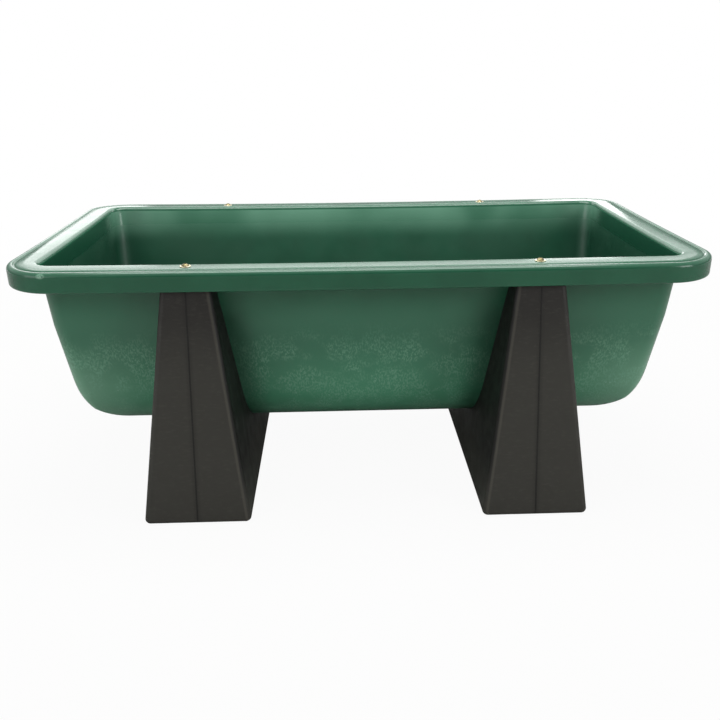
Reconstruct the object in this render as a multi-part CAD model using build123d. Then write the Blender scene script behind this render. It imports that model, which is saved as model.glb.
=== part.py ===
from build123d import *
import math
import os

# A livestock bunk feeder: a moulded trough on two hollow saddle legs, held by four screws.
# Millimetres. X runs along the trough, the front faces -Y and +Z is up.
# The origin is on the ground, under the middle of the trough.

# Overall sizes, measured over the rim
LENGTH = 1524.0
WIDTH = 813.0
HEIGHT = 546.0

# Trough shell
WALL = 6.0
FLOOR_HEIGHT = 113.0        # ground to the underside of the trough
BOTTOM_RADIUS = 156.0       # outside radius between the walls and the bottom
END_SLOPE = 5.0             # degrees from vertical, the two end walls
SIDE_SLOPE = 14.0           # degrees from vertical, the front and back walls
MOUTH_RADIUS = 34.0         # plan radius of the inside corners at the rim
LEAST_CORNER = 14.0         # outside plan radius that the corners keep at the bottom
BOTTOM_STEPS = 9            # sections that shape the bottom radius

# Rim
RIM_WIDTH = 68.0            # outer edge to the mouth
RIM_RADIUS = 115.0          # plan radius of the outer edge
SKIRT_DROP = 42.0           # top of the rim to the bottom of the skirt
BEAD_RADIUS = 10.0          # rounding between the skirt and the top
BEAD_LAND = 2.0             # flat top of the bead
GROOVE_WIDTH = 8.0
GROOVE_DEPTH = 2.5
MOUTH_ROUNDING = 10.0       # rounding between the flat band and the inside wall

# Saddle legs
LEG_SPACING = 738.0         # middle of one leg to the middle of the other
FOOT_WIDTH = 233.0          # along the trough, at the ground
LEG_DRAFT = 7.2             # degrees, each side face
FOOT_DEPTH = 957.0          # front to back, at the ground
HORN_SETBACK = 18.0         # rim's outer edge to the horn's face, at the skirt's bottom
PARTING_WIDTH = 2.0         # the moulding's parting line, up the front and the back of each leg
PARTING_HEIGHT = 0.6
LEG_EDGE_RADIUS = 12.0
FOOT_EDGE_RADIUS = 10.0
LEG_WALL = 6.0
SEAT_GAP = 0.3              # between the trough and the saddle
VENT_DIAMETER = 12.0

# Screws, washers and threaded inserts
SCREW_SHANK = 8.0
SHANK_LENGTH = 24.0
HEAD_DIAMETER = 16.0
HEAD_HEIGHT = 4.6
SOCKET_FLATS = 5.0
SOCKET_DEPTH = 2.6
WASHER_DIAMETER = 23.0
WASHER_THICKNESS = 1.6
SCREW_CLEARANCE = 0.5       # shank to the holes in the rim and the washer
THREAD_CLEARANCE = 0.1      # shank to the insert's bore
INSERT_DIAMETER = 12.0
INSERT_LENGTH = 22.0
INSERT_GAP = 0.2            # insert to its pocket
INSERT_COLLAR = 2.0         # how far the insert's foot collar stands out
BOSS_WALL = 6.0             # plastic round the insert

# Places that follow from the sizes
HALF_LENGTH = LENGTH / 2
HALF_WIDTH = WIDTH / 2
RIM_UNDERSIDE = HEIGHT - WALL
SKIRT_BOTTOM = HEIGHT - SKIRT_DROP
BEAD_WIDTH = BEAD_RADIUS + BEAD_LAND
BAND_START = BEAD_WIDTH + GROOVE_WIDTH


def tangent(degrees):
    return math.tan(math.radians(degrees))


def cosine(degrees):
    return math.cos(math.radians(degrees))


# Outside of the trough wall at the height of the rim
END_TOP = HALF_LENGTH - RIM_WIDTH + WALL / cosine(END_SLOPE)
SIDE_TOP = HALF_WIDTH - RIM_WIDTH + WALL / cosine(SIDE_SLOPE)
RADIUS_CENTRE = FLOOR_HEIGHT + BOTTOM_RADIUS


def wall_line(z, top, slope, grow):
    """Half size of the straight sloped wall at height z, moved outwards by grow."""
    return top + grow / cosine(slope) - (HEIGHT - z) * tangent(slope)


def wall_half(z, top, slope, grow):
    """Half size of the trough at height z: the sloped wall, then the bottom radius."""
    radius = BOTTOM_RADIUS + grow
    drop = RADIUS_CENTRE - z
    if drop <= radius * math.sin(math.radians(slope)):
        return wall_line(z, top, slope, grow)
    centre = wall_line(RADIUS_CENTRE, top, slope, grow) - radius / cosine(slope)
    return centre + math.sqrt(max(radius**2 - drop**2, 0.0))


def trough_section(z, grow):
    """One level of the trough: a rounded rectangle whose corners tighten towards the bottom."""
    half_x = wall_half(z, END_TOP, END_SLOPE, grow)
    half_y = wall_half(z, SIDE_TOP, SIDE_SLOPE, grow)
    inset = wall_line(z, END_TOP, END_SLOPE, grow) - half_x
    corner = max(MOUTH_RADIUS + WALL - inset, LEAST_CORNER) + grow
    return Pos(0, 0, z) * RectangleRounded(2 * half_x, 2 * half_y, corner)


def trough_block(grow, top):
    """The trough's outside as a solid block, moved outwards by grow and cut off at top."""
    radius = BOTTOM_RADIUS + grow
    first = min(END_SLOPE, SIDE_SLOPE)
    turns = [first + (90.0 - first) * k / BOTTOM_STEPS for k in range(BOTTOM_STEPS + 1)]
    levels = [RADIUS_CENTRE - radius * math.sin(math.radians(turn)) for turn in turns]
    walls = loft([trough_section(top, grow), trough_section(levels[0], grow)], ruled=True)
    bottom = loft([trough_section(z, grow) for z in levels])
    return walls + bottom


def rim_edge():
    """Section of the rim from the skirt to the flat band, x inwards from the outer edge, y up."""
    end = WALL / 2
    groove_middle = BEAD_WIDTH + GROOVE_WIDTH / 2
    inner_turn = BEAD_RADIUS - WALL
    with BuildSketch() as section:
        with BuildLine():
            outer = Line((0, end - SKIRT_DROP), (0, -BEAD_RADIUS))
            bead = RadiusArc(outer @ 1, (BEAD_RADIUS, 0), BEAD_RADIUS)
            land = Line(bead @ 1, (BEAD_WIDTH, 0))
            groove = ThreePointArc(land @ 1, (groove_middle, -GROOVE_DEPTH), (BAND_START, 0))
            band = Line(groove @ 1, (BAND_START + WALL, 0))
            close = Line(band @ 1, (BAND_START + WALL, -WALL))
            under_band = Line(close @ 1, (BAND_START, -WALL))
            under_groove = ThreePointArc(
                under_band @ 1, (groove_middle, -WALL - GROOVE_DEPTH), (BEAD_WIDTH, -WALL)
            )
            under_bead = Line(under_groove @ 1, (BEAD_RADIUS, -WALL))
            turn = RadiusArc(under_bead @ 1, (WALL, -BEAD_RADIUS), -inner_turn)
            inner = Line(turn @ 1, (WALL, end - SKIRT_DROP))
            ThreePointArc(inner @ 1, (WALL / 2, -SKIRT_DROP), outer @ 0)
        make_face()
    return section.sketch


def rim_quarter():
    """A quarter of the rim's edge: half of one side, a corner and half of one end."""
    profile = rim_edge()
    straight_x = HALF_LENGTH - RIM_RADIUS
    straight_y = HALF_WIDTH - RIM_RADIUS
    # On the side the section lies across Y, and on the end it lies across X.
    side_plane = Plane(origin=(0, -HALF_WIDTH, HEIGHT), x_dir=(0, 1, 0), z_dir=(1, 0, 0))
    side = extrude(side_plane * profile, straight_x, dir=(1, 0, 0))
    end_plane = Plane(origin=(HALF_LENGTH, 0, HEIGHT), x_dir=(-1, 0, 0), z_dir=(0, 1, 0))
    end = extrude(end_plane * profile, straight_y, dir=(0, -1, 0))
    corner_plane = Plane(
        origin=(straight_x, -HALF_WIDTH, HEIGHT), x_dir=(0, 1, 0), z_dir=(1, 0, 0)
    )
    pivot = Axis((straight_x, -straight_y, 0), (0, 0, 1))
    corner = revolve(corner_plane * profile, pivot, 90)
    return side + corner + end


def screw_places():
    """Name and place of each screw, over the middle of each horn's top."""
    wall_face = wall_half(RIM_UNDERSIDE, SIDE_TOP, SIDE_SLOPE, 0)
    middle = (horn_half_depth(RIM_UNDERSIDE) + wall_face) / 2
    places = {}
    for side_name, side in (("left", -1), ("right", 1)):
        for face_name, face in (("front", -1), ("rear", 1)):
            places[f"{face_name}_{side_name}"] = (side * LEG_SPACING / 2, face * middle)
    return places


def horn_half_depth(z):
    """Half of the leg's front-to-back size at height z."""
    top = HALF_WIDTH - HORN_SETBACK
    return FOOT_DEPTH / 2 + (top - FOOT_DEPTH / 2) * z / SKIRT_BOTTOM


def make_trough():
    edge = rim_quarter()
    edge += mirror(edge, about=Plane.XZ)
    edge += mirror(edge, about=Plane.YZ)
    plate_inset = BAND_START + WALL / 2
    outline = RectangleRounded(
        LENGTH - 2 * plate_inset, WIDTH - 2 * plate_inset, RIM_RADIUS - plate_inset
    )
    plate = Pos(0, 0, RIM_UNDERSIDE) * extrude(outline, WALL)
    shell = trough_block(0, HEIGHT) + plate + edge
    shell -= trough_block(-WALL, HEIGHT)
    mouth = [
        e for e in shell.edges().filter_by_position(Axis.Z, HEIGHT - 0.01, HEIGHT + 0.01)
        if abs(e.center().X) < END_TOP + 1 and abs(e.center().Y) < SIDE_TOP + 1
    ]
    shell = fillet(mouth, MOUTH_ROUNDING)
    hole = Cylinder(SCREW_SHANK / 2 + SCREW_CLEARANCE, 4 * WALL)
    for x, y in screw_places().values():
        shell -= Pos(x, y, RIM_UNDERSIDE) * hole
    return shell


def leg_block(inset):
    """A leg before the trough is cut out of it, tapered on all four sides and moved inwards by inset."""
    levels = []
    for z in (inset, RIM_UNDERSIDE - inset):
        half_x = FOOT_WIDTH / 2 - z * tangent(LEG_DRAFT) - inset
        half_y = horn_half_depth(z) - inset
        levels.append(Pos(0, 0, z) * Rectangle(2 * half_x, 2 * half_y))
    return loft(levels, ruled=True)


def parting_line():
    """A thin fin through the leg's middle that stands out of the front and the back face."""
    levels = []
    for z in (FOOT_EDGE_RADIUS, RIM_UNDERSIDE):
        half_y = horn_half_depth(z) + PARTING_HEIGHT
        levels.append(Pos(0, 0, z) * Rectangle(PARTING_WIDTH, 2 * half_y))
    return loft(levels, ruled=True)


def make_leg(side):
    body = leg_block(0)
    upright = [e for e in body.edges() if 1 < e.center().Z < RIM_UNDERSIDE - 1]
    body = fillet(upright, LEG_EDGE_RADIUS)
    body = fillet(body.faces().sort_by(Axis.Z)[0].edges(), FOOT_EDGE_RADIUS)
    body += parting_line()
    at_leg = Pos(side * LEG_SPACING / 2, 0, 0)
    body = at_leg * body - trough_block(SEAT_GAP, HEIGHT)
    hollow = at_leg * leg_block(LEG_WALL) - trough_block(SEAT_GAP + LEG_WALL, HEIGHT)
    pocket_radius = INSERT_DIAMETER / 2 + INSERT_COLLAR + INSERT_GAP
    boss = Cylinder(pocket_radius + BOSS_WALL, 2 * (INSERT_LENGTH + BOSS_WALL))
    sleeve = Cylinder(INSERT_DIAMETER / 2 + INSERT_GAP, 2 * INSERT_LENGTH)
    seat = Cylinder(pocket_radius, INSERT_COLLAR + 2 * INSERT_GAP)
    for x, y in screw_places().values():
        if x * side > 0:
            hollow -= Pos(x, y, RIM_UNDERSIDE) * boss
            body -= Pos(x, y, RIM_UNDERSIDE) * sleeve
            collar_z = RIM_UNDERSIDE - INSERT_LENGTH + INSERT_COLLAR / 2
            body -= Pos(x, y, collar_z) * seat
    body -= hollow
    body -= at_leg * Cylinder(VENT_DIAMETER / 2, 4 * LEG_WALL)
    return body


def make_insert(x, y):
    """A threaded insert: a sleeve with a collar at its foot that locks it into the moulding."""
    sleeve = Cylinder(INSERT_DIAMETER / 2, INSERT_LENGTH)
    collar_z = (INSERT_COLLAR - INSERT_LENGTH) / 2
    collar = Pos(0, 0, collar_z) * Cylinder(INSERT_DIAMETER / 2 + INSERT_COLLAR, INSERT_COLLAR)
    insert = sleeve + collar - Cylinder(SCREW_SHANK / 2 + THREAD_CLEARANCE, 2 * INSERT_LENGTH)
    return Pos(x, y, RIM_UNDERSIDE - INSERT_LENGTH / 2) * insert


def make_washer(x, y):
    washer = Cylinder(WASHER_DIAMETER / 2, WASHER_THICKNESS)
    washer -= Cylinder(SCREW_SHANK / 2 + SCREW_CLEARANCE, 2 * WASHER_THICKNESS)
    washer = chamfer(washer.edges().group_by(Axis.Z)[-1].sort_by(Edge.length)[-1], 0.4)
    return Pos(x, y, HEIGHT + WASHER_THICKNESS / 2) * washer


def make_screw(x, y):
    """A domed socket screw whose head stands on the washer."""
    head_radius = HEAD_DIAMETER / 2
    dome_radius = (head_radius**2 + HEAD_HEIGHT**2) / (2 * HEAD_HEIGHT)
    dome = Pos(0, 0, HEAD_HEIGHT - dome_radius) * Sphere(dome_radius)
    head = Pos(0, 0, HEAD_HEIGHT / 2) * Cylinder(head_radius, HEAD_HEIGHT)
    head &= dome
    socket = extrude(RegularPolygon(SOCKET_FLATS / 2, 6, major_radius=False), SOCKET_DEPTH * 2)
    head -= Pos(0, 0, HEAD_HEIGHT - SOCKET_DEPTH) * socket
    shank = Pos(0, 0, -SHANK_LENGTH / 2) * Cylinder(SCREW_SHANK / 2, SHANK_LENGTH)
    shank = chamfer(shank.edges().sort_by(Axis.Z)[0], SCREW_SHANK / 10)
    return Pos(x, y, HEIGHT + WASHER_THICKNESS) * (head + shank)


def write_part(name, shape):
    shape.label = name
    export_step(shape, f"parts/{name}.step")


os.makedirs("parts", exist_ok=True)
write_part("trough", make_trough())
write_part("left_leg", make_leg(-1))
write_part("right_leg", make_leg(1))
for place, (x, y) in screw_places().items():
    write_part(f"threaded_insert_{place}", make_insert(x, y))
    write_part(f"rim_washer_{place}", make_washer(x, y))
    write_part(f"rim_screw_{place}", make_screw(x, y))
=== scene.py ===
import math

import bmesh
import bpy
from mathutils import Matrix, Vector, noise


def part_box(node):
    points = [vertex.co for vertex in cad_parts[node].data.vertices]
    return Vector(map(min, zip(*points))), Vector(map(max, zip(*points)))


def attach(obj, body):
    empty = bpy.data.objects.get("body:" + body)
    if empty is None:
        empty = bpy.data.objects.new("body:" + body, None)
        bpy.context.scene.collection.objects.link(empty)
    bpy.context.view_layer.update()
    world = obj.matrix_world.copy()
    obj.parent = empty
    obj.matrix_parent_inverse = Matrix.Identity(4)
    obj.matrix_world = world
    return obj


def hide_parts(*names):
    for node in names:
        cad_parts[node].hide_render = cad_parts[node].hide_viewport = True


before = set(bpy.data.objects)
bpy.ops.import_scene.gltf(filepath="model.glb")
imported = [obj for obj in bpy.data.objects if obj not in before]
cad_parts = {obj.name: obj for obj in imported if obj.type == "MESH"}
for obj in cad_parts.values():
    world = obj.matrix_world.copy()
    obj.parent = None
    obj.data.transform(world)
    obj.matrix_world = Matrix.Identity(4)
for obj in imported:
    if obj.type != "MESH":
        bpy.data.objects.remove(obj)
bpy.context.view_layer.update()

# A bunk feeder: a green moulded trough on two black moulded saddle legs, held by four screws.
# Metres, in the frame's own axes: X along the trough, the front faces -Y, +Z up.

MM = 0.001

# The photograph's camera
IMAGE_SIDE = 720                    # pixels
FOCAL_PIXELS = 791.3
CAMERA_PLACE = (-0.0599, -1.968, 0.9447)
CAMERA_YAW = -0.031                 # radians, turned to the right
CAMERA_PITCH = 0.365                # radians, looking down
CAMERA_ROLL = -0.009
SENSOR_WIDTH = 36.0                 # millimetres
FAR_CLIP = 100

# Sizes of the trough, from the frame where it gives them
trough_low, trough_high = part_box("trough")
HALF_LENGTH = trough_high[0]
HALF_WIDTH = trough_high[1]
HEIGHT = trough_high[2]
FLOOR_HEIGHT = trough_low[2]
WALL = 6 * MM
BOTTOM_RADIUS = 156 * MM
END_SLOPE = math.radians(5)
SIDE_SLOPE = math.radians(14)
MOUTH_RADIUS = 34 * MM
LEAST_CORNER = 14 * MM
RIM_WIDTH = 68 * MM
RIM_RADIUS = 115 * MM
SKIRT_DROP = 42 * MM
BEAD_RADIUS = 10 * MM
BEAD_LAND = 2 * MM
GROOVE_WIDTH = 8 * MM
GROOVE_DEPTH = 3.2 * MM             # deeper than the part's, so that its dark line shows
MOUTH_ROUNDING = 10 * MM
BAND_START = BEAD_RADIUS + BEAD_LAND + GROOVE_WIDTH
FLAT_INSET = 40 * MM                # from the bottom radius to a ring within the flat

# How finely the trough is divided
CORNER_STEPS = 16
SIDE_STEPS = 54
END_STEPS = 22
WALL_STEPS = 12
BOTTOM_STEPS = 20
BEAD_STEPS = 8
GROOVE_STEPS = 6
SKIRT_INSIDE_STEPS = 3
SKIRT_OUTSIDE_STEPS = 6

# Rings at one height are set this far apart, because level rings can be bridged the wrong way round
RING_STEP = 0.02 * MM

# How the rim has settled: it sags between its corners, most at the back
FRONT_SAG = 3.0 * MM
REAR_SAG = 5.0 * MM
REAR_DROP = 0.5 * MM                # how far the back is below the front
RIM_DROOP = 2.4 * MM                # how far the long sides' outer edges hang below the mouth
END_BOW = 5.0 * MM                  # the middle of each end is drawn in
FRONT_DRAW = 6.5 * MM               # and so are the front corners, by this much
SETTLED_FROM = 400 * MM             # the wall is straight up to this height
SETTLED_FULLY = 490 * MM            # and wholly follows the rim from this one

# The skirt's slight waviness, as the moulding shrinks unevenly
WAVE_LENGTH = 170 * MM
WAVE_DEPTH = 0.9 * MM

# The rim's skin is smoother than the walls'
RIM_FOOT = HEIGHT - SKIRT_DROP
RIM_FADE = 10 * MM
RIM_ROUGHNESS = 0.2
OUTSIDE_ROUGHNESS = 0.34
INSIDE_ROUGHNESS = 0.42

# Where the trough's colours change outside, each from the first height or distance to the second
# The rim's painted shadow on the outer wall fades out between these heights
RIM_SHADOW_FADE = (490 * MM, 400 * MM)
BLOOM = (410 * MM, 300 * MM)
# The wall gets paler lower down between these heights, partly a chalky bloom and partly painted light
# reflected from the floor
PALE_LOWER = (380 * MM, 200 * MM)
ABOVE_BOTTOM = (120 * MM, 160 * MM)
OUTSIDE_ENDS = (450 * MM, 700 * MM)

# The painted shadow beside the legs, by the distance past the plane of the legs' inner sides
LEG_SHADOW_STARTS = (-75 * MM, -4 * MM)
LEG_SHADOW_ENDS = (60 * MM, 10 * MM)

# Where the painted light and shade inside the trough change: lighter near the mouth, darker towards
# the ends, and a patch of painted light high at the back
NEAR_MOUTH = (440 * MM, 540 * MM)
INSIDE_ENDS = (560 * MM, 680 * MM)
PAINTED_LIGHT_HEIGHTS = (450 * MM, 540 * MM)
PAINTED_LIGHT_AT_BACK = (200 * MM, 300 * MM)

# A pale nick in the skirt, near the front left corner
NICK_PLACE = (-653 * MM, -405 * MM, 540 * MM)
NICK_SIZE = (11 * MM, 11 * MM, 7 * MM)
NICK_CORE = 0.35                    # the share of its size within which it is wholly pale

# What the surroundings give, 1 being white
WORLD_LIGHT = 0.2                   # as plain light
DIM_FRONT = 0.1                     # in reflections of the studio's dim side, before the object
DIM_HORIZON = 0.15                  # in reflections from near the horizon

# The studio's dim side and horizon, as components of a direction, each fading from first to second
DIM_FORWARD = (-0.15, -0.6)
DIM_BELOW = (0.75, 0.45)
HORIZON = (0.12, 0.36)

# The floor, and how it turns into plain white with the distance from the object, in metres
FLOOR_HALF = 30
WHITE_NEAR = 0.95                   # how white it is seen beside the object
WHITE_SEEN = (1.0, 3.5)
WHITE_REFLECTED = (2.0, 6.0)

# The legs
LEG_DRAFT = math.radians(7.2)       # how far their sides lean in
PARTING_REACH = 2.2 * MM            # how far the parting line's darkness reaches to each side
PARTING_SHADE = 11 * MM             # and how far a fainter painted shade does
# Heights over which the rim's painted shadow on the legs fades out
LEG_RIM_SHADOW_FADE = (480 * MM, 300 * MM)
SIDE_SHADE_PAST = (9 * MM, 3 * MM)       # past the plane of the inner sides, which are painted dark as shade
SIDE_SHADE_ABOVE = (20 * MM, 140 * MM)
EDGE_HIGHLIGHT_STARTS = (3 * MM, 6 * MM)      # the painted highlight along the edge of the inner sides
EDGE_HIGHLIGHT_ENDS = (12 * MM, 8 * MM)
MERGE_WITHIN = 0.01 * MM            # points this close are one
FLAT_WITHIN = math.radians(0.2)     # faces that turn less than this are one flat face
LEG_SHARP = math.radians(28)        # edges that turn more than this are shaded sharp

# Screws and washers
HEAD_RADIUS = 8 * MM
HEAD_HEIGHT = 4.6 * MM
HEAD_BREAK_WIDTH = 0.24 * MM        # of the broken edge under the head
HEAD_BREAK_HEIGHT = 0.25 * MM
SOCKET_FLATS = 5 * MM
SOCKET_DEPTH = 2.6 * MM
SOCKET_CHAMFER = 0.5 * MM
SHANK_RADIUS = 4 * MM
SHANK_CHAMFER = 0.8 * MM
WASHER_RADIUS = 11.5 * MM
WASHER_BORE = 4.5 * MM
WASHER_CHAMFER = 0.3 * MM
ROUND_STEPS = 48
DOME_STEPS = 9
SPUN_WITHIN = 0.001 * MM            # points of a spun piece this close are one
ROUND_SHARP = math.radians(35)      # edges that turn more than this are shaded sharp


def colour(code):
    """A hex sRGB colour as linear red, green, blue and alpha."""
    values = []
    for start in (1, 3, 5):
        value = int(code[start:start + 2], 16) / 255
        values.append(value / 12.92 if value <= 0.04045 else ((value + 0.055) / 1.055) ** 2.4)
    return (*values, 1.0)


def add(tree, kind, values=None, links=None, **properties):
    """Adds a node with its settings, its socket values and its links."""
    node = tree.nodes.new("ShaderNode" + kind)
    for name, value in properties.items():
        setattr(node, name, value)
    for socket, value in (values or {}).items():
        node.inputs[socket].default_value = value
    for socket, source in (links or {}).items():
        tree.links.new(source, node.inputs[socket])
    return node


def new_material(name):
    """A material with an empty tree, its surface shader and its Object coordinates."""
    material = bpy.data.materials.new(name)
    material.use_nodes = True
    tree = material.node_tree
    tree.nodes.clear()
    shader = add(tree, "BsdfPrincipled")
    add(tree, "OutputMaterial", links={"Surface": shader.outputs["BSDF"]})
    coordinates = add(tree, "TexCoord").outputs["Object"]
    return material, tree, shader, coordinates


def grain(tree, coordinates, size, detail=2.0, stretch=(1, 1, 1)):
    """Noise whose features are about size metres across, drawn out by stretch along X, Y and Z."""
    scale = tuple(1 / (size * s) for s in stretch)
    place = add(tree, "Mapping", {"Scale": scale}, {"Vector": coordinates})
    texture = add(
        tree, "TexNoise", {"Scale": 1.0, "Detail": detail, "Roughness": 0.55},
        {"Vector": place.outputs[0]},
    )
    return texture.outputs[0]


def ramp(tree, source, low, high, start=0.0, end=1.0):
    """Takes source from low to high smoothly onto start to end."""
    values = {"From Min": low, "From Max": high, "To Min": start, "To Max": end}
    node = add(
        tree, "MapRange", values, {"Value": source}, interpolation_type="SMOOTHSTEP", clamp=True
    )
    return node.outputs[0]


def times(tree, first, second):
    """The first times the second, which is a socket or a number."""
    links = {0: first}
    values = {}
    if isinstance(second, float):
        values[1] = second
    else:
        links[1] = second
    return add(tree, "Math", values, links, operation="MULTIPLY").outputs[0]


def blend_colours(tree, amount, first, second):
    """Mixes two colours, each a hex code or a socket, by amount."""
    values, links = {}, {0: amount}
    for socket, part in ((6, first), (7, second)):
        if isinstance(part, str):
            values[socket] = colour(part)
        else:
            links[socket] = part
    return add(tree, "Mix", values, links, data_type="RGBA").outputs[2]


def bumps(tree, *layers):
    """Stacks bump layers, each a height with its depth in metres and its strength."""
    normal = None
    for height, depth, strength in layers:
        links = {"Height": height}
        if normal is not None:
            links["Normal"] = normal
        node = add(tree, "Bump", {"Strength": strength, "Distance": depth}, links)
        normal = node.outputs[0]
    return normal


def near_place(tree, coordinates, place, size):
    """One at a place, falling to zero on an ellipsoid of that half size about it."""
    scale = tuple(1 / reach for reach in size)
    shift = tuple(-centre / reach for centre, reach in zip(place, size))
    mapping = add(tree, "Mapping", {"Scale": scale, "Location": shift}, {"Vector": coordinates})
    distance = add(tree, "VectorMath", links={0: mapping.outputs[0]}, operation="LENGTH")
    return ramp(tree, distance.outputs["Value"], 1.0, NICK_CORE)


def absolute(tree, source):
    """The source without its sign."""
    return add(tree, "Math", {}, {0: source}, operation="ABSOLUTE").outputs[0]


def leg_side(tree, axes):
    """How far a point lies past the plane of the legs' inner sides, away from the trough's middle."""
    low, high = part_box("right_leg")
    slant = add(
        tree, "Math", {1: -math.tan(LEG_DRAFT)}, {0: axes["Z"]}, operation="MULTIPLY"
    ).outputs[0]
    links = {0: absolute(tree, axes["X"]), 1: slant}
    leaning = add(tree, "Math", {}, links, operation="ADD").outputs[0]
    return add(tree, "Math", {1: low[0]}, {0: leaning}, operation="SUBTRACT").outputs[0]


def green_skin(name, roughness):
    """What the trough's two green skins share: the satin finish and its relief."""
    material, tree, shader, place = new_material(name)
    wear = ramp(tree, grain(tree, place, 60 * MM, 2), 0.3, 0.7, 0.9, 1.15)
    height = add(tree, "SeparateXYZ", links={0: place}).outputs["Z"]
    polish = ramp(tree, height, RIM_FOOT - RIM_FADE, RIM_FOOT, roughness, RIM_ROUGHNESS)
    tree.links.new(times(tree, polish, wear), shader.inputs["Roughness"])
    shader.inputs["IOR"].default_value = 1.51
    normal = bumps(
        tree,
        (grain(tree, place, 150 * MM, 1), 4 * MM, 0.2),
        (grain(tree, place, 3.5 * MM, 2, (1, 1, 2)), 0.2 * MM, 0.2),
    )
    tree.links.new(normal, shader.inputs["Normal"])
    return material, tree, shader, place


def green_polyethylene():
    # Rotationally moulded polyethylene, pigmented right through. The mould leaves a satin skin. The
    # outer walls carry the rim's painted shadow under the rim and get paler lower down and towards
    # the ends, partly chalky bloom and partly painted light from the floor, fibrous lower down, with
    # small scuffs, a painted shadow beside each leg and one pale nick in the skirt.
    material, tree, shader, place = green_skin(
        "rotomoulded_green_polyethylene", OUTSIDE_ROUGHNESS
    )
    axes = add(tree, "SeparateXYZ", links={0: place}).outputs
    clouds = ramp(tree, grain(tree, place, 110 * MM, 3), 0.35, 0.65)
    body = blend_colours(tree, clouds, "#165a3e", "#1b6043")
    # Painted shadow of the rim: the wall is darker just under the rim and lighter below it
    wall = ramp(tree, axes["Z"], *RIM_SHADOW_FADE)
    body = blend_colours(tree, times(tree, wall, 0.85), body, "#39765a")
    # Paler lower down, partly a chalky bloom and partly painted light reflected from the floor, and
    # paler still towards the ends
    ends = ramp(tree, absolute(tree, axes["X"]), *OUTSIDE_ENDS)
    above_bottom = ramp(tree, axes["Z"], *ABOVE_BOTTOM)
    lower = times(tree, ramp(tree, axes["Z"], *PALE_LOWER), above_bottom)
    body = blend_colours(tree, times(tree, lower, 0.85), body, "#519a77")
    body = blend_colours(tree, times(tree, times(tree, lower, ends), 0.55), body, "#8bb39b")
    pebbled = times(tree, ramp(tree, axes["Z"], *BLOOM), above_bottom)
    patches = ramp(tree, grain(tree, place, 60 * MM, 3), 0.38, 0.58)
    fibres = ramp(tree, grain(tree, place, 3.5 * MM, 3, (1, 1, 2)), 0.42, 0.64)
    bloom = times(tree, times(tree, fibres, patches), pebbled)
    body = blend_colours(tree, times(tree, bloom, 0.55), body, "#7db497")
    specks = ramp(tree, grain(tree, place, 5 * MM, 4, (1, 1, 2)), 0.66, 0.73)
    scuffs = times(tree, times(tree, specks, patches), lower)
    body = blend_colours(tree, times(tree, scuffs, 0.6), body, "#bcd8c8")
    # Painted shadow of the legs on the wall beside each leg's inner side, below the rim's painted
    # shadow
    from_leg = leg_side(tree, axes)
    beside = times(tree, ramp(tree, from_leg, *LEG_SHADOW_STARTS), ramp(tree, from_leg, *LEG_SHADOW_ENDS))
    leg_shadow = times(tree, times(tree, beside, wall), 0.72)
    body = blend_colours(tree, leg_shadow, body, "#0f3a28")
    ragged = ramp(tree, grain(tree, place, 4 * MM, 3), 0.38, 0.55)
    nick = times(tree, near_place(tree, place, NICK_PLACE, NICK_SIZE), ragged)
    body = blend_colours(tree, times(tree, nick, 0.7), body, "#8fbda3")
    tree.links.new(body, shader.inputs["Base Color"])
    return material


def green_inside():
    # The same polyethylene where feed and tongues have worn the bloom off, so it is deeper green.
    # Painted light and shade make it lighter near the mouth and darker deeper in and at the ends,
    # with a patch of painted light near the mouth at the back.
    material, tree, shader, place = green_skin(
        "inside_green_polyethylene_painted_light_and_shade", INSIDE_ROUGHNESS
    )
    axes = add(tree, "SeparateXYZ", links={0: place}).outputs
    clouds = ramp(tree, grain(tree, place, 90 * MM, 3), 0.35, 0.65)
    body = blend_colours(tree, clouds, "#144c35", "#17523a")
    # Painted shade: lighter near the mouth, darker deeper in
    body = blend_colours(tree, ramp(tree, axes["Z"], *NEAR_MOUTH), body, "#1e6346")
    # Painted shade on the inner end walls
    ends = ramp(tree, absolute(tree, axes["X"]), *INSIDE_ENDS)
    body = blend_colours(tree, times(tree, ends, 0.75), body, "#0e3a29")
    # A patch of painted light high on the inside near the mouth at the back, broken up by drifts
    drifts = ramp(tree, grain(tree, place, 260 * MM, 2), 0.30, 0.62, 0.35, 1.0)
    dryness_and_painted_light = times(
        tree, ramp(tree, axes["Z"], *PAINTED_LIGHT_HEIGHTS), ramp(tree, axes["Y"], *PAINTED_LIGHT_AT_BACK)
    )
    painted_light_at_back = times(tree, dryness_and_painted_light, drifts)
    body = blend_colours(tree, times(tree, painted_light_at_back, 0.85), body, "#76aa90")
    tree.links.new(body, shader.inputs["Base Color"])
    return material


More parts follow.
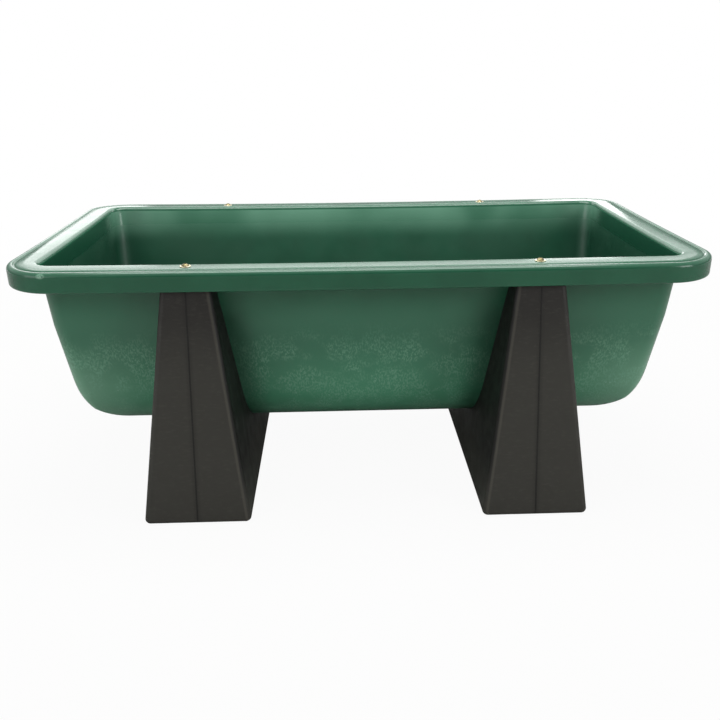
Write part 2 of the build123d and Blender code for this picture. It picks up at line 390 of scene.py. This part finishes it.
def black_polyethylene():
    # Rotationally moulded polyethylene with carbon black. Its skin is coarser and drier than the
    # trough's, with a little grey dust and a dark line of flash where the mould parted. The rim's
    # painted shadow darkens the tops, the inner sides are painted dark as shade with a painted
    # highlight along their edge, and a faint painted shade lies on each side of the parting line.
    material, tree, shader, place = new_material("rotomoulded_black_polyethylene")
    axes = add(tree, "SeparateXYZ", links={0: place}).outputs
    clouds = ramp(tree, grain(tree, place, 70 * MM, 4), 0.3, 0.7)
    body = blend_colours(tree, clouds, "#252320", "#2a2825")
    # Painted shadow of the rim: the legs are darker at the top and paler below
    body = blend_colours(tree, ramp(tree, axes["Z"], *LEG_RIM_SHADOW_FADE), body, "#383732")
    dust = ramp(tree, grain(tree, place, 5 * MM, 4, (3, 1, 1)), 0.50, 0.75)
    body = blend_colours(tree, times(tree, dust, 0.16), body, "#55534c")
    # Painted shade: the inner sides, which face under the trough, are painted near black, less so
    # near the floor
    past_side = leg_side(tree, axes)
    side_shade = times(tree, ramp(tree, past_side, *SIDE_SHADE_PAST), ramp(tree, axes["Z"], *SIDE_SHADE_ABOVE))
    body = blend_colours(tree, times(tree, side_shade, 0.85), body, "#090908")
    # A painted highlight along the edge of each inner side
    edge = times(tree, ramp(tree, past_side, *EDGE_HIGHLIGHT_STARTS), ramp(tree, past_side, *EDGE_HIGHLIGHT_ENDS))
    body = blend_colours(tree, times(tree, edge, 0.4), body, "#5d5a52")
    along = add(
        tree, "Math", {1: leg_middle()}, {0: absolute(tree, axes["X"])}, operation="SUBTRACT"
    ).outputs[0]
    from_middle = absolute(tree, along)
    parting = ramp(tree, from_middle, PARTING_REACH, PARTING_REACH / 3)
    body = blend_colours(tree, times(tree, parting, 0.75), body, "#100f0e")
    # A faint painted shade on each side of the parting line
    parting_shade_band = ramp(tree, from_middle, PARTING_SHADE, PARTING_REACH)
    body = blend_colours(tree, times(tree, parting_shade_band, 0.3), body, "#1b1a18")
    tree.links.new(body, shader.inputs["Base Color"])
    dryness_and_painted_light = ramp(tree, grain(tree, place, 40 * MM, 3), 0.3, 0.7, 0.50, 0.62)
    tree.links.new(dryness_and_painted_light, shader.inputs["Roughness"])
    shader.inputs["IOR"].default_value = 1.5
    shader.inputs["Specular IOR Level"].default_value = 0.35
    normal = bumps(
        tree,
        (grain(tree, place, 90 * MM, 1), 2 * MM, 0.25),
        (grain(tree, place, 3 * MM, 3), 0.3 * MM, 0.30),
    )
    tree.links.new(normal, shader.inputs["Normal"])
    return material


def yellow_zinc(name, pale, deep):
    # Steel with yellow passivated zinc: a straw coloured metal with drifts of deeper yellow.
    material, tree, shader, place = new_material(name)
    drift = ramp(tree, grain(tree, place, 4 * MM, 3), 0.35, 0.65)
    body = blend_colours(tree, drift, pale, deep)
    tree.links.new(body, shader.inputs["Base Color"])
    shader.inputs["Metallic"].default_value = 1.0
    matt = ramp(tree, grain(tree, place, 1.5 * MM, 2), 0.3, 0.7, 0.28, 0.42)
    tree.links.new(matt, shader.inputs["Roughness"])
    normal = bumps(tree, (grain(tree, place, 0.8 * MM, 2), 0.03 * MM, 0.3))
    tree.links.new(normal, shader.inputs["Normal"])
    return material


def machined_brass():
    # Turned brass bar: warm yellow metal with fine tool marks round its axis.
    material, tree, shader, place = new_material("machined_brass")
    marks = grain(tree, place, 0.9 * MM, 1, (20, 20, 1))
    body = blend_colours(tree, ramp(tree, marks, 0.4, 0.6), "#b8934a", "#c9a55c")
    tree.links.new(body, shader.inputs["Base Color"])
    shader.inputs["Metallic"].default_value = 1.0
    shader.inputs["Roughness"].default_value = 0.3
    tree.links.new(bumps(tree, (marks, 0.02 * MM, 0.4)), shader.inputs["Normal"])
    return material


def node_centre(node):
    """The middle of a CAD node in X and Y."""
    low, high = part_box(node)
    return (low[0] + high[0]) / 2, (low[1] + high[1]) / 2


def leg_middle():
    """How far each leg's middle is from the trough's."""
    return node_centre("right_leg")[0]


def finish_piece(name, bm, material, slot, *nodes):
    """Makes the mesh an object of that material, on the root body, in place of the CAD nodes."""
    mesh = bpy.data.meshes.new(name)
    bm.to_mesh(mesh)
    bm.free()
    piece = bpy.data.objects.new(name, mesh)
    bpy.context.scene.collection.objects.link(piece)
    mesh.materials.append(material)
    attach(piece, "root")
    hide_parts(*nodes)
    return piece


def ring_points(half_x, half_y, radius, z):
    """Points round a level rounded rectangle, each corner an arc and each side evenly divided."""
    arcs = []
    for side_x, side_y, start in ((1, 1, 0), (-1, 1, 1), (-1, -1, 2), (1, -1, 3)):
        centre_x = side_x * (half_x - radius)
        centre_y = side_y * (half_y - radius)
        arc = []
        for step in range(CORNER_STEPS + 1):
            turn = (start + step / CORNER_STEPS) * math.pi / 2
            x = centre_x + radius * math.cos(turn)
            y = centre_y + radius * math.sin(turn)
            arc.append(Vector((x, y, z)))
        arcs.append(arc)
    points = []
    for arc, following, steps in zip(arcs, arcs[1:] + arcs[:1], (SIDE_STEPS, END_STEPS) * 2):
        points += arc
        points += [arc[-1].lerp(following[0], step / steps) for step in range(1, steps)]
    return points


def add_ring(bm, points):
    """The closed ring of edges through the points."""
    verts = [bm.verts.new(point) for point in points]
    return [bm.edges.new(pair) for pair in zip(verts, verts[1:] + verts[:1])]


def wall_line(z, top, slope, grow):
    """Half size of the straight sloped wall at height z, moved outwards by grow."""
    return top + grow / math.cos(slope) - (HEIGHT - z) * math.tan(slope)


def wall_half(z, top, slope, grow):
    """Half size of the trough at height z: the sloped wall, then the bottom radius."""
    radius = BOTTOM_RADIUS + grow
    centre_z = FLOOR_HEIGHT + BOTTOM_RADIUS
    drop = centre_z - z
    if drop <= radius * math.sin(slope):
        return wall_line(z, top, slope, grow)
    centre = wall_line(centre_z, top, slope, grow) - radius / math.cos(slope)
    return centre + math.sqrt(max(radius**2 - drop**2, 0.0))


def wall_ring(z, grow, spread=0.0):
    """A level of the trough's wall, moved outwards by grow and then spread level by spread."""
    end_top = HALF_LENGTH - RIM_WIDTH + WALL / math.cos(END_SLOPE)
    side_top = HALF_WIDTH - RIM_WIDTH + WALL / math.cos(SIDE_SLOPE)
    half_x = wall_half(z, end_top, END_SLOPE, grow)
    half_y = wall_half(z, side_top, SIDE_SLOPE, grow)
    inset = wall_line(z, end_top, END_SLOPE, grow) - half_x
    corner = max(MOUTH_RADIUS + WALL - inset, LEAST_CORNER) + grow
    return half_x + spread, half_y + spread, corner + spread


def wall_levels(grow, top):
    """Heights from the flat of the bottom up to top, close together round the bottom radius."""
    radius = BOTTOM_RADIUS + grow
    centre_z = FLOOR_HEIGHT + BOTTOM_RADIUS
    levels = []
    for step in range(BOTTOM_STEPS + 1):
        turn = math.pi / 2 + (END_SLOPE - math.pi / 2) * step / BOTTOM_STEPS
        levels.append(centre_z - radius * math.sin(turn))
    start = levels[-1]
    levels += [start + (top - start) * step / WALL_STEPS for step in range(1, WALL_STEPS + 1)]
    return levels


def rim_ring(inset):
    """A ring inset from the rim's outer edge."""
    return HALF_LENGTH - inset, HALF_WIDTH - inset, RIM_RADIUS - inset


def skirt_and_bead():
    """Rings of the rim from the inside of the skirt, round its foot and bead, to the flat band."""
    rings = []
    foot = HEIGHT - SKIRT_DROP + WALL / 2
    bend = BEAD_RADIUS - WALL
    under = HEIGHT - WALL
    for step in range(BEAD_STEPS + 1):
        turn = math.pi / 2 * step / BEAD_STEPS
        rings.append((BEAD_RADIUS - bend * math.sin(turn), under - bend * (1 - math.cos(turn))))
    for step in range(1, SKIRT_INSIDE_STEPS + 1):
        rings.append((WALL, under - bend + (foot - under + bend) * step / SKIRT_INSIDE_STEPS))
    for step in range(1, BEAD_STEPS):
        turn = math.pi * step / BEAD_STEPS
        rings.append((WALL / 2 * (1 + math.cos(turn)), foot - WALL / 2 * math.sin(turn)))
    shoulder = HEIGHT - BEAD_RADIUS
    for step in range(SKIRT_OUTSIDE_STEPS + 1):
        rings.append((0.0, foot + (shoulder - foot) * step / SKIRT_OUTSIDE_STEPS))
    for step in range(1, BEAD_STEPS + 1):
        turn = math.pi / 2 * step / BEAD_STEPS
        rings.append((BEAD_RADIUS * (1 - math.cos(turn)), shoulder + BEAD_RADIUS * math.sin(turn)))
    for step in range(GROOVE_STEPS + 1):
        share = step / GROOVE_STEPS
        dip = GROOVE_DEPTH * (1 - math.cos(2 * math.pi * share)) / 2
        rings.append((BEAD_RADIUS + BEAD_LAND + GROOVE_WIDTH * share, HEIGHT - dip))
    return rings


def wavy(point):
    """Moves a point of the skirt inwards a little, most at its foot."""
    depth = min(max((HEIGHT - BEAD_RADIUS - point.z) / SKIRT_DROP, 0.0), 1.0)
    wave = noise.noise(point / WAVE_LENGTH) * 0.5 + 0.5
    flat = Vector((point.x, point.y, 0)).normalized()
    return point - flat * (WAVE_DEPTH * wave * depth)


# How far along the half length the legs hold the rim, where it neither sags nor rises
LEG_SHARE = leg_middle() / HALF_LENGTH


def settled(point):
    """A point of the trough where the settled rim carries it."""
    share = (point.z - SETTLED_FROM) / (SETTLED_FULLY - SETTLED_FROM)
    share = min(max(share, 0.0), 1.0)
    along = point.x / HALF_LENGTH
    across = point.y / HALF_WIDTH
    behind = (across + 1) / 2
    sag = FRONT_SAG + (REAR_SAG - FRONT_SAG) * behind
    outwards = max(abs(point.y) - HALF_WIDTH + RIM_WIDTH, 0.0) / RIM_WIDTH
    lift = sag * (along**2 - LEG_SHARE**2) - REAR_DROP * behind - RIM_DROOP * outwards
    drawn = END_BOW * (1 - across**2) + FRONT_DRAW * (1 - behind)
    return point + Vector((-drawn * along * share, 0, lift * share))


def rim_lift(x, y, z):
    """How far the settled rim has lifted what sits on it there."""
    return settled(Vector((x, y, z))).z - z


def flat_ring(z, grow):
    """A ring within the flat of the bottom, which keeps the shading of the flat even."""
    half_x, half_y, corner = wall_ring(z, grow)
    return ring_points(half_x - FLAT_INSET, half_y - FLAT_INSET, corner, z)


def moulded_trough(material, inside_material):
    """The trough as one closed shell, ring by ring: outside wall, rim, inside wall.

    The faces from the rounding of the mouth inwards take the inside material.
    """
    bm = bmesh.new()
    rings = [flat_ring(FLOOR_HEIGHT, 0.0)]
    for z in wall_levels(0.0, HEIGHT - WALL):
        rings.append(ring_points(*wall_ring(z, 0.0), z))
    rings.append(ring_points(*rim_ring(BAND_START), HEIGHT - WALL))
    for inset, z in skirt_and_bead():
        rings.append([wavy(point) for point in ring_points(*rim_ring(inset), z)])
    outer = rings[-1]
    for step in range(BEAD_STEPS + 1):
        turn = math.pi / 2 * step / BEAD_STEPS
        z = HEIGHT - MOUTH_ROUNDING * (1 - math.cos(turn))
        spread = MOUTH_ROUNDING * (1 - math.sin(turn))
        points = ring_points(*wall_ring(z, -WALL, spread), z)
        if step == 0:
            rings.append([a.lerp(b, 0.5) for a, b in zip(outer, points)])
        rings.append(points)
    for z in reversed(wall_levels(-WALL, HEIGHT - 2 * MOUTH_ROUNDING)):
        rings.append(ring_points(*wall_ring(z, -WALL), z))
    rings.append(flat_ring(FLOOR_HEIGHT + WALL, -WALL))
    for above, points in zip(rings, rings[1:]):
        if abs(above[0].z - points[0].z) < RING_STEP:
            for point in points:
                point.z -= RING_STEP
    loops = [add_ring(bm, [settled(point) for point in points]) for points in rings]
    mouth = rings.index(outer) + 2 + BEAD_STEPS
    for index, (first, second) in enumerate(zip(loops, loops[1:])):
        bridge = bmesh.ops.bridge_loops(bm, edges=first + second)["faces"]
        for face in bridge:
            face.material_index = int(index >= mouth)
    for loop, index in ((loops[0], 0), (loops[-1], 1)):
        cap = bmesh.ops.contextual_create(bm, geom=loop)["faces"][0]
        cap.material_index = index
    bmesh.ops.recalc_face_normals(bm, faces=bm.faces)
    for face in bm.faces:
        face.smooth = True
    piece = finish_piece("moulded_trough", bm, material, "green_polyethylene", "trough")
    piece.data.materials.append(inside_material)
    return piece


def moulded_leg(node, material):
    """A leg from the CAD node's own mesh, merged, with its flat faces made whole."""
    bm = bmesh.new()
    bm.from_mesh(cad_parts[node].data)
    bmesh.ops.remove_doubles(bm, verts=bm.verts, dist=MERGE_WITHIN)
    bmesh.ops.dissolve_limit(
        bm, angle_limit=FLAT_WITHIN, verts=bm.verts, edges=bm.edges, use_dissolve_boundaries=False
    )
    for face in bm.faces:
        face.smooth = True
    for edge in bm.edges:
        if len(edge.link_faces) == 2 and edge.calc_face_angle() > LEG_SHARP:
            edge.smooth = False
    piece = finish_piece("moulded_" + node, bm, material, "black_polyethylene", node)
    weighted = piece.modifiers.new("weighted normals", "WEIGHTED_NORMAL")
    weighted.keep_sharp = True
    return piece


def spin_profile(bm, profile):
    """Spins a profile of (radius, height) points a full turn about Z."""
    verts = [bm.verts.new((radius, 0, height)) for radius, height in profile]
    edges = [bm.edges.new(pair) for pair in zip(verts, verts[1:])]
    bmesh.ops.spin(
        bm, geom=verts + edges, cent=(0, 0, 0), axis=(0, 0, 1), dvec=(0, 0, 0),
        angle=2 * math.pi, steps=ROUND_STEPS, use_merge=True,
    )
    bmesh.ops.remove_doubles(bm, verts=bm.verts, dist=SPUN_WITHIN)


def open_loop_at(bm, height):
    """The open edges that lie at a height."""
    return [
        edge for edge in bm.edges
        if edge.is_boundary and all(abs(vert.co.z - height) < MERGE_WITHIN for vert in edge.verts)
    ]


def finish_round(name, bm, centre, material, slot, node):
    """Moves a round piece to its place, shades it and makes it an object in place of its CAD node."""
    bmesh.ops.recalc_face_normals(bm, faces=bm.faces)
    bmesh.ops.translate(bm, verts=bm.verts, vec=centre)
    for face in bm.faces:
        face.smooth = True
    for edge in bm.edges:
        if len(edge.link_faces) == 2 and edge.calc_face_angle() > ROUND_SHARP:
            edge.smooth = False
    return finish_piece(name, bm, material, slot, node)


def screw(node, material):
    """A domed screw with a hexagon socket, its head's underside on the washer."""
    low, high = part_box(node)
    x, y = node_centre(node)
    dome_radius = (HEAD_RADIUS**2 + HEAD_HEIGHT**2) / (2 * HEAD_HEIGHT)
    dome_centre = HEAD_HEIGHT - dome_radius
    corner = SOCKET_FLATS / math.sqrt(3)
    mouth = corner + SOCKET_CHAMFER
    shank = -(high[2] - low[2] - HEAD_HEIGHT)
    profile = [
        (0, shank), (SHANK_RADIUS - SHANK_CHAMFER, shank), (SHANK_RADIUS, shank + SHANK_CHAMFER),
        (SHANK_RADIUS, 0), (HEAD_RADIUS - HEAD_BREAK_WIDTH, 0), (HEAD_RADIUS, HEAD_BREAK_HEIGHT),
    ]
    for step in range(1, DOME_STEPS + 1):
        radius = HEAD_RADIUS + (mouth - HEAD_RADIUS) * step / DOME_STEPS
        profile.append((radius, dome_centre + math.sqrt(dome_radius**2 - radius**2)))
    bm = bmesh.new()
    spin_profile(bm, profile)
    top = profile[-1][1]
    socket_top = top - SOCKET_CHAMFER / 2
    socket_floor = HEAD_HEIGHT - SOCKET_DEPTH
    hexagon = bmesh.ops.create_circle(
        bm, segments=6, radius=corner, matrix=Matrix.Translation((0, 0, socket_top))
    )["verts"]
    sides = list({edge for vert in hexagon for edge in vert.link_edges})
    bmesh.ops.bridge_loops(bm, edges=open_loop_at(bm, top) + sides)
    walls = bmesh.ops.extrude_edge_only(bm, edges=sides)["geom"]
    deep = [item for item in walls if isinstance(item, bmesh.types.BMVert)]
    bmesh.ops.translate(bm, verts=deep, vec=(0, 0, socket_floor - socket_top))
    bmesh.ops.contextual_create(bm, geom=open_loop_at(bm, socket_floor))
    name = node + "_head"
    lift = rim_lift(x, y, low[2])
    return finish_round(name, bm, (x, y, high[2] - top + lift), material, "yellow_zinc", node)


def washer(node, material):
    """A flat washer with broken edges."""
    low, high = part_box(node)
    x, y = node_centre(node)
    thick = high[2] - low[2]
    cut = WASHER_CHAMFER
    profile = [
        (WASHER_BORE, 0), (WASHER_RADIUS - cut, 0), (WASHER_RADIUS, cut),
        (WASHER_RADIUS, thick - cut), (WASHER_RADIUS - cut, thick), (WASHER_BORE, thick),
        (WASHER_BORE, 0),
    ]
    bm = bmesh.new()
    spin_profile(bm, profile)
    lift = rim_lift(x, y, low[2])
    return finish_round(node + "_plate", bm, (x, y, low[2] + lift), material, "yellow_zinc", node)


def sum_of(tree, first, second):
    """The sum of two sockets, at most 1."""
    links = {0: first, 1: second}
    return add(tree, "Math", {}, links, operation="ADD", use_clamp=True).outputs[0]


def white_rays(tree):
    """Whether a ray sees the surroundings directly, and whether it sees them as a reflection."""
    path = add(tree, "LightPath").outputs
    return sum_of(tree, path["Is Camera Ray"], path["Is Transmission Ray"]), path["Is Glossy Ray"]


def pale_floor():
    # A matt pale floor. It keeps its shading and the object's shadow nearby, and further out it is
    # the plain white of the surroundings, seen directly and in reflections.
    material = bpy.data.materials.new("pale_floor")
    material.use_nodes = True
    tree = material.node_tree
    tree.nodes.clear()
    pale = add(tree, "BsdfDiffuse", {"Color": colour("#d2d2cf")})
    white = add(tree, "Emission", {"Color": (1, 1, 1, 1), "Strength": 1.0})
    place = add(tree, "TexCoord").outputs["Object"]
    reach = add(tree, "VectorMath", links={0: place}, operation="LENGTH").outputs["Value"]
    direct, glossy = white_rays(tree)
    direct = times(tree, direct, ramp(tree, reach, *WHITE_SEEN, WHITE_NEAR, 1.0))
    glossy = times(tree, glossy, ramp(tree, reach, *WHITE_REFLECTED))
    links = {0: sum_of(tree, direct, glossy), 1: pale.outputs[0], 2: white.outputs[0]}
    surface = add(tree, "MixShader", {}, links).outputs[0]
    add(tree, "OutputMaterial", links={"Surface": surface})
    return material


def make_stage():
    bm = bmesh.new()
    bmesh.ops.create_grid(bm, x_segments=1, y_segments=1, size=FLOOR_HALF)
    mesh = bpy.data.meshes.new("floor")
    bm.to_mesh(mesh)
    bm.free()
    floor = bpy.data.objects.new("floor", mesh)
    bpy.context.scene.collection.objects.link(floor)
    mesh.materials.append(pale_floor())


def make_world():
    """White to look at, white in reflections but for its dim front and horizon, and faint light."""
    world = bpy.data.worlds.new("studio")
    bpy.context.scene.world = world
    world.use_nodes = True
    tree = world.node_tree
    tree.nodes.clear()
    direction = add(tree, "TexCoord").outputs["Generated"]
    axes = add(tree, "SeparateXYZ", links={0: direction}).outputs
    front = times(tree, ramp(tree, axes["Y"], *DIM_FORWARD), ramp(tree, axes["Z"], *DIM_BELOW))
    reflected = ramp(tree, front, 0.0, 1.0, 1.0, DIM_FRONT)
    reflected = times(tree, reflected, ramp(tree, axes["Z"], *HORIZON, DIM_HORIZON, 1.0))
    direct, glossy = white_rays(tree)
    seen = sum_of(tree, direct, times(tree, glossy, reflected))
    strength = add(
        tree, "MapRange", {"To Min": WORLD_LIGHT, "To Max": 1.0}, {"Value": seen}
    ).outputs[0]
    background = add(tree, "Background", {"Color": (1, 1, 1, 1)}, {"Strength": strength})
    add(tree, "OutputWorld", links={"Surface": background.outputs[0]})


def area_light(name, place, target, width, depth, power):
    """A soft rectangle of light at a place, turned to its target: metres and watts."""
    data = bpy.data.lights.new(name, "AREA")
    data.shape = "RECTANGLE"
    data.size = width
    data.size_y = depth
    data.energy = power
    lamp = bpy.data.objects.new(name, data)
    lamp.location = place
    lamp.rotation_euler = (Vector(target) - Vector(place)).to_track_quat("-Z", "Y").to_euler()
    bpy.context.scene.collection.objects.link(lamp)


def make_lights():
    area_light("overhead_softbox", (0.0, 0.1, 2.7), (0, 0.1, 0.4), 2.4, 1.4, 64)
    area_light("left_softbox", (-2.4, -2.1, 1.4), (-0.2, 0, 0.3), 2.2, 1.6, 21)
    area_light("right_softbox", (2.4, -2.1, 1.3), (0.2, 0, 0.3), 1.2, 1.2, 22)
    area_light("back_softbox", (0.0, 2.9, 1.72), (0, -0.3, 0.5), 5.0, 0.7, 14)
    area_light("rim_strip", (0.0, 2.3, 2.4), (0, -0.35, 0.5), 4.4, 0.8, 34)
    area_light("left_edge_softbox", (-1.6, 2.9, 1.05), (-0.7, 0, 0.54), 0.8, 0.6, 4)
    area_light("right_edge_softbox", (1.45, 2.9, 1.0), (0.7, 0, 0.54), 0.5, 0.6, 4)


def make_camera():
    yaw, pitch, roll = CAMERA_YAW, CAMERA_PITCH, CAMERA_ROLL
    forward = Vector((
        -math.sin(yaw) * math.cos(pitch), math.cos(yaw) * math.cos(pitch), -math.sin(pitch)
    ))
    level = Vector((math.cos(yaw), math.sin(yaw), 0))
    upright = level.cross(forward)
    right = level * math.cos(roll) + upright * math.sin(roll)
    up = upright * math.cos(roll) - level * math.sin(roll)
    data = bpy.data.cameras.new("photo_camera")
    data.sensor_width = SENSOR_WIDTH
    data.lens = FOCAL_PIXELS / IMAGE_SIDE * SENSOR_WIDTH
    data.clip_end = FAR_CLIP
    camera = bpy.data.objects.new("photo_camera", data)
    turn = Matrix((right, up, -forward)).transposed().to_4x4()
    camera.matrix_world = Matrix.Translation(CAMERA_PLACE) @ turn
    bpy.context.scene.collection.objects.link(camera)
    bpy.context.scene.camera = camera


make_camera()
make_world()
make_lights()
make_stage()

green = green_polyethylene()
black = black_polyethylene()
# One yellow zinc in two tones: the heads darker as a painted dark reflection, the washers paler as a
# painted bright reflection
head_zinc = yellow_zinc("yellow_zinc_painted_dark", "#857b5a", "#6f6649")
washer_zinc = yellow_zinc("yellow_zinc_painted_pale", "#e6e0cc", "#cfc39c")
brass = machined_brass()

moulded_trough(green, green_inside())
for leg_node in ("left_leg", "right_leg"):
    moulded_leg(leg_node, black)
for corner_name in ("front_left", "rear_left", "front_right", "rear_right"):
    screw("rim_screw_" + corner_name, head_zinc)
    washer("rim_washer_" + corner_name, washer_zinc)
    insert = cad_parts["threaded_insert_" + corner_name]
    insert.data.materials.clear()
    insert.data.materials.append(brass)

bpy.context.scene.view_settings.view_transform = "Standard"
